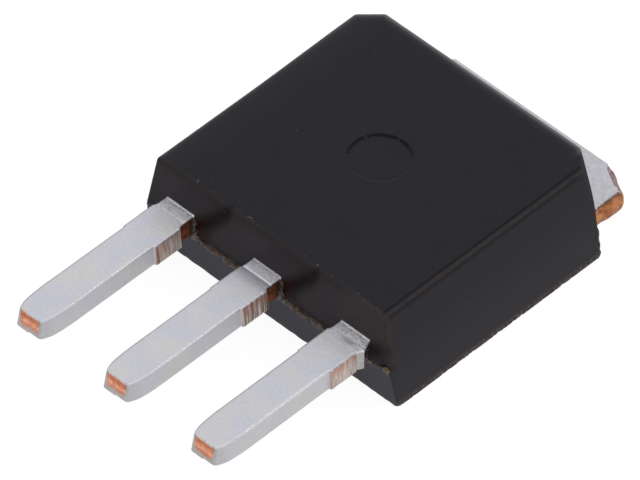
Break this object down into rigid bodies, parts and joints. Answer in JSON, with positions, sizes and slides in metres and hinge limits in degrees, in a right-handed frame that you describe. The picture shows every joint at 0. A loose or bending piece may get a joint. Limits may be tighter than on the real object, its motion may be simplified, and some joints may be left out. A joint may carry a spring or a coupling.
{
  "type": "power transistor",
  "caption": "Moulded power transistor lying on its tinned metal back: dark epoxy body, short metal tab at one end and a row of flat tapered leads at the other.",
  "frame": {"origin": "on the flat metal back, under the middle of the moulded body", "axes": "+X across the row of leads, +Y from the lead tips to the tab, +Z out of the moulded front"},
  "size_m": [0.0066, 0.0113, 0.0023],
  "materials": {
    "resin": "moulded epoxy, fine matte grain",
    "tinned_copper": "matte tin plating on copper strip",
    "bare_copper": "copper laid bare by the shear, dull and slightly oxidised",
    "silicon": "polished wafer",
    "solder": "soft solder",
    "bond_wire": "drawn wire"
  },
  "bodies": {
    "root": {"mould_body": "resin", "collector_frame": "tinned_copper", "base_lead": "tinned_copper", "emitter_lead": "tinned_copper", "silicon_die": "silicon", "die_solder": "solder", "base_wire": "bond_wire", "emitter_wire_1": "bond_wire", "emitter_wire_2": "bond_wire"}
  },
  "joints": []
}
